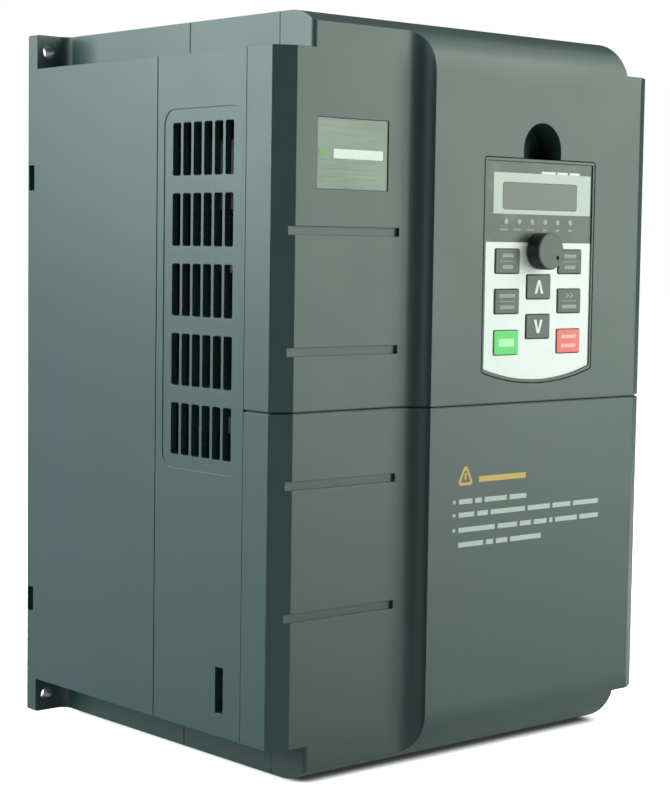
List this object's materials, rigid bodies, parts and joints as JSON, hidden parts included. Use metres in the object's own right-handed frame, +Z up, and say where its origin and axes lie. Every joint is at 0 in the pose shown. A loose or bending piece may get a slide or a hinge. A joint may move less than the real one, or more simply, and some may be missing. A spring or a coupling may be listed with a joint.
{
  "type": "variable frequency drive",
  "caption": "Wall-mounted motor inverter in a moulded housing with side vents, a pull-out keypad with keys and a speed knob, two front covers and a finned heatsink.",
  "frame": {"origin": "centre of the rear mounting plane, midway between the four mounting holes", "axes": "+X to the right seen from the front, +Y back into the wall, +Z up"},
  "size_m": [0.192, 0.1762, 0.28],
  "materials": {
    "housing": "satin moulded, fine texture",
    "name_plate": "satin",
    "label": "satin film",
    "screw_steel": "zinc plated",
    "aluminium": "extruded",
    "module_plastic": "moulded",
    "standoff_brass": "turned",
    "circuit_board": "solder mask",
    "capacitor_sleeve": "shrink sleeve",
    "black_plastic": "moulded",
    "ceramic_case": "matte",
    "ferrite": "matte",
    "terminal_green": "moulded",
    "ribbon_grey": "pvc",
    "grommet_rubber": "matte",
    "keypad_case": "satin moulded",
    "overlay": "printed film",
    "display_dark": "display face",
    "window": "clear plastic",
    "indicator": "light guide",
    "silicone": "matte",
    "knob": "satin moulded",
    "shaft_metal": "turned",
    "key_grey": "moulded",
    "key_green": "moulded",
    "key_red": "moulded"
  },
  "bodies": {
    "chassis": {"rear_chassis": "housing", "mid_frame": "housing", "rating_label": "label", "housing_screws": "screw_steel", "heatsink": "aluminium", "heatsink_screws": "screw_steel", "power_module": "module_plastic", "rectifier_module": "module_plastic", "module_screws": "screw_steel", "board_standoffs": "standoff_brass", "board_screws": "screw_steel", "power_board": "circuit_board", "dc_capacitor_1": "capacitor_sleeve", "dc_capacitor_2": "capacitor_sleeve", "dc_capacitor_3": "capacitor_sleeve", "dc_capacitor_4": "capacitor_sleeve", "capacitor_holder": "black_plastic", "precharge_resistor": "ceramic_case", "precharge_relay": "black_plastic", "supply_transformer": "ferrite", "current_sensor_u": "black_plastic", "current_sensor_w": "black_plastic", "power_terminal_block": "black_plastic", "power_terminal_screws": "screw_steel", "control_tray": "black_plastic", "ribbon_cable": "ribbon_grey", "control_board": "circuit_board", "control_terminal_block": "terminal_green", "control_terminal_screws": "screw_steel", "keypad_socket": "black_plastic", "cable_entry_plate": "housing", "cable_grommets": "grommet_rubber"},
    "upper_cover": {"upper_cover": "housing", "name_plate": "name_plate"},
    "lower_cover": {"lower_cover": "housing"},
    "keypad": {"keypad_case": "keypad_case", "keypad_back": "keypad_case", "keypad_board": "circuit_board", "display_module": "display_dark", "display_window": "window", "keypad_overlay": "overlay", "indicator_lights": "indicator", "key_mat": "silicone", "potentiometer": "black_plastic"},
    "knob": {"knob_shaft": "shaft_metal", "knob": "knob"},
    "fan_tray": {"fan_guard": "housing", "fan_screws": "screw_steel", "fan_frame_left": "black_plastic", "fan_frame_right": "black_plastic"},
    "fan_left": {"fan_rotor_left": "black_plastic"},
    "fan_right": {"fan_rotor_right": "black_plastic"},
    "key_program": {"key_program": "key_grey"},
    "key_enter": {"key_enter": "key_grey"},
    "key_up": {"key_up": "key_grey"},
    "key_jog": {"key_jog": "key_grey"},
    "key_shift": {"key_shift": "key_grey"},
    "key_down": {"key_down": "key_grey"},
    "key_run": {"key_run": "key_green"},
    "key_stop": {"key_stop": "key_red"}
  },
  "joints": [
    {"name": "upper_cover_release", "type": "slide", "parent": "chassis", "child": "upper_cover", "axis": [0, -1, 0], "range_m": [0, 0.06]},
    {"name": "lower_cover_release", "type": "slide", "parent": "chassis", "child": "lower_cover", "axis": [0, -1, 0], "range_m": [0, 0.06]},
    {"name": "keypad_release", "type": "slide", "parent": "upper_cover", "child": "keypad", "axis": [0, -1, 0], "range_m": [0, 0.04]},
    {"name": "knob_turn", "type": "hinge", "parent": "keypad", "child": "knob", "pos_m": [0.03025, -0.17, 0.055], "axis": [0, 1, 0], "range_deg": [-275, 25]},
    {"name": "fan_tray_release", "type": "slide", "parent": "chassis", "child": "fan_tray", "axis": [0, 0, 1], "range_m": [0, 0.05]},
    {"name": "fan_left_spin", "type": "hinge", "parent": "fan_tray", "child": "fan_left", "pos_m": [-0.031, -0.035, 0.12], "axis": [0, 0, 1], "continuous": true},
    {"name": "fan_right_spin", "type": "hinge", "parent": "fan_tray", "child": "fan_right", "pos_m": [0.031, -0.035, 0.12], "axis": [0, 0, 1], "continuous": true},
    {"name": "key_program_press", "type": "slide", "parent": "keypad", "child": "key_program", "axis": [0, 1, 0], "range_m": [0, 0.0008], "stiffness_N_per_m": 800},
    {"name": "key_enter_press", "type": "slide", "parent": "keypad", "child": "key_enter", "axis": [0, 1, 0], "range_m": [0, 0.0008], "stiffness_N_per_m": 800},
    {"name": "key_up_press", "type": "slide", "parent": "keypad", "child": "key_up", "axis": [0, 1, 0], "range_m": [0, 0.0008], "stiffness_N_per_m": 800},
    {"name": "key_jog_press", "type": "slide", "parent": "keypad", "child": "key_jog", "axis": [0, 1, 0], "range_m": [0, 0.0008], "stiffness_N_per_m": 800},
    {"name": "key_shift_press", "type": "slide", "parent": "keypad", "child": "key_shift", "axis": [0, 1, 0], "range_m": [0, 0.0008], "stiffness_N_per_m": 800},
    {"name": "key_down_press", "type": "slide", "parent": "keypad", "child": "key_down", "axis": [0, 1, 0], "range_m": [0, 0.0008], "stiffness_N_per_m": 800},
    {"name": "key_run_press", "type": "slide", "parent": "keypad", "child": "key_run", "axis": [0, 1, 0], "range_m": [0, 0.0008], "stiffness_N_per_m": 800},
    {"name": "key_stop_press", "type": "slide", "parent": "keypad", "child": "key_stop", "axis": [0, 1, 0], "range_m": [0, 0.0008], "stiffness_N_per_m": 800}
  ]
}
